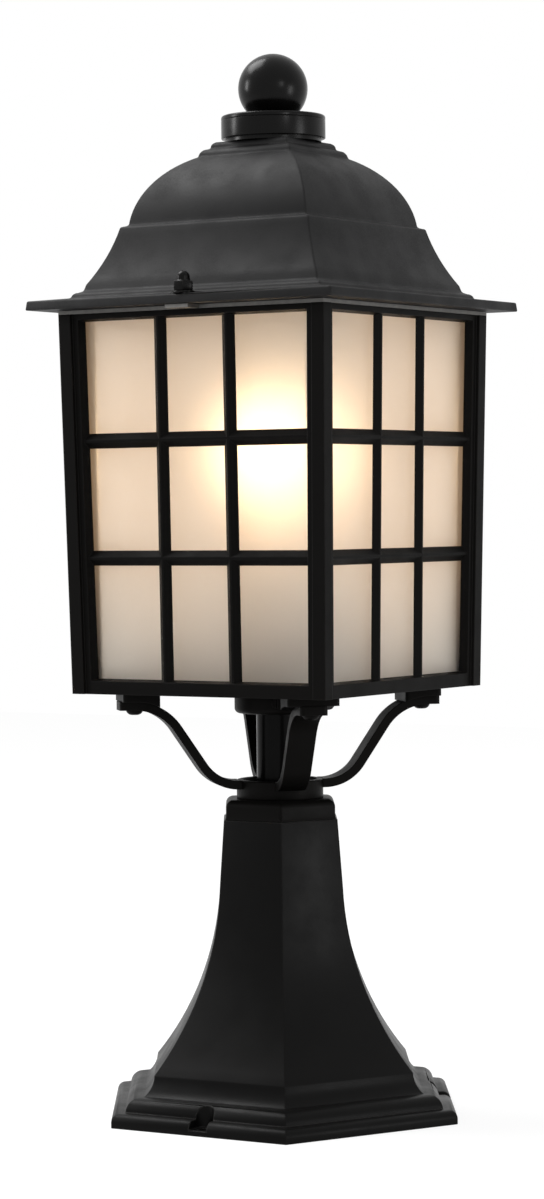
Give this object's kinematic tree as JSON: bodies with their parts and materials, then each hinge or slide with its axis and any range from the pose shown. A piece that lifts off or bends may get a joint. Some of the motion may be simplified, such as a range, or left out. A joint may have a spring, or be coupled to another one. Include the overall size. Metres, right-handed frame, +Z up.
{
  "type": "pillar lantern",
  "caption": "Outdoor pillar lantern: flared six-sided pedestal, strap arms, square cage of frosted panes with glazing bars, lift-off domed roof and ball finial.",
  "frame": {"origin": "on the ground, under the middle of the pedestal's underside", "axes": "+Z up; the cage's glazed sides face -X, +X, -Y and +Y, and the cap nuts stand on the -Y and +Y eaves"},
  "size_m": [0.2206, 0.2012, 0.597],
  "materials": {
    "cast_black": "satin black powder coat on cast aluminium",
    "tube_black": "satin black paint on steel tube",
    "gloss_black": "gloss black enamel",
    "dark_steel": "blackened steel",
    "zinc_steel": "bright zinc plate",
    "frosted_glass": "frosted, diffusing",
    "bulb_glass": "opal white inside",
    "cap_aluminium": "bright rolled",
    "brass": "plain",
    "porcelain": "glazed white",
    "rubber": "matt",
    "terminal_plastic": "matt natural",
    "wire_plastic": "heat-proof sleeve",
    "filament": "lit"
  },
  "bodies": {
    "lantern": {"pedestal": "cast_black", "pedestal_cap": "cast_black", "stem_tube": "tube_black", "stem_nut_lower": "zinc_steel", "stem_washer": "zinc_steel", "stem_nut_upper": "zinc_steel", "tube_grommet": "rubber", "hub_ring": "cast_black", "arm_screws": "dark_steel", "arm_nuts": "zinc_steel", "floor_tray": "cast_black", "stem_cup": "cast_black", "cup_screw": "zinc_steel", "tray_screws": "dark_steel", "top_plate": "zinc_steel", "top_plate_screws": "zinc_steel", "roof_studs": "dark_steel", "holder_bracket": "zinc_steel", "bracket_screws": "zinc_steel", "lampholder": "porcelain", "contact_shell": "brass", "centre_contact": "brass", "terminal_block": "terminal_plastic", "terminal_screws": "brass", "lead_wires": "wire_plastic", "arm_front": "cast_black", "arm_right": "cast_black", "arm_back": "cast_black", "arm_left": "cast_black", "side_frame_front": "cast_black", "side_frame_right": "cast_black", "side_frame_back": "cast_black", "side_frame_left": "cast_black", "glass_pane_front": "frosted_glass", "glass_pane_right": "frosted_glass", "glass_pane_back": "frosted_glass", "glass_pane_left": "frosted_glass", "corner_angle_front": "zinc_steel", "corner_angle_right": "zinc_steel", "corner_angle_back": "zinc_steel", "corner_angle_left": "zinc_steel"},
    "roof_cover": {"roof": "cast_black", "roof_washers": "dark_steel", "finial_collar": "gloss_black", "finial_stud": "zinc_steel", "finial_washer": "zinc_steel", "finial_nut": "zinc_steel"},
    "front_cap_nut": {"cap_nut_front": "gloss_black"},
    "back_cap_nut": {"cap_nut_back": "gloss_black"},
    "finial": {"finial_ball": "gloss_black"},
    "bulb": {"bulb_cap": "cap_aluminium", "bulb_globe": "bulb_glass", "bulb_stem": "bulb_glass", "bulb_filaments": "filament"}
  },
  "joints": [
    {"name": "roof_lift", "type": "slide", "parent": "lantern", "child": "roof_cover", "axis": [0, 0, 1], "range_m": [0, 0.08]},
    {"name": "front_cap_nut_turn", "type": "hinge", "parent": "roof_cover", "child": "front_cap_nut", "pos_m": [0, -0.091, 0.4595], "axis": [0, 0, 1], "continuous": true},
    {"name": "back_cap_nut_turn", "type": "hinge", "parent": "roof_cover", "child": "back_cap_nut", "pos_m": [0, 0.091, 0.4595], "axis": [0, 0, 1], "continuous": true},
    {"name": "finial_turn", "type": "hinge", "parent": "roof_cover", "child": "finial", "pos_m": [0, 0, 0.5774], "axis": [0, 0, 1], "continuous": true},
    {"name": "bulb_turn", "type": "hinge", "parent": "lantern", "child": "bulb", "pos_m": [0, 0, 0.3], "axis": [0, 0, 1], "continuous": true}
  ]
}
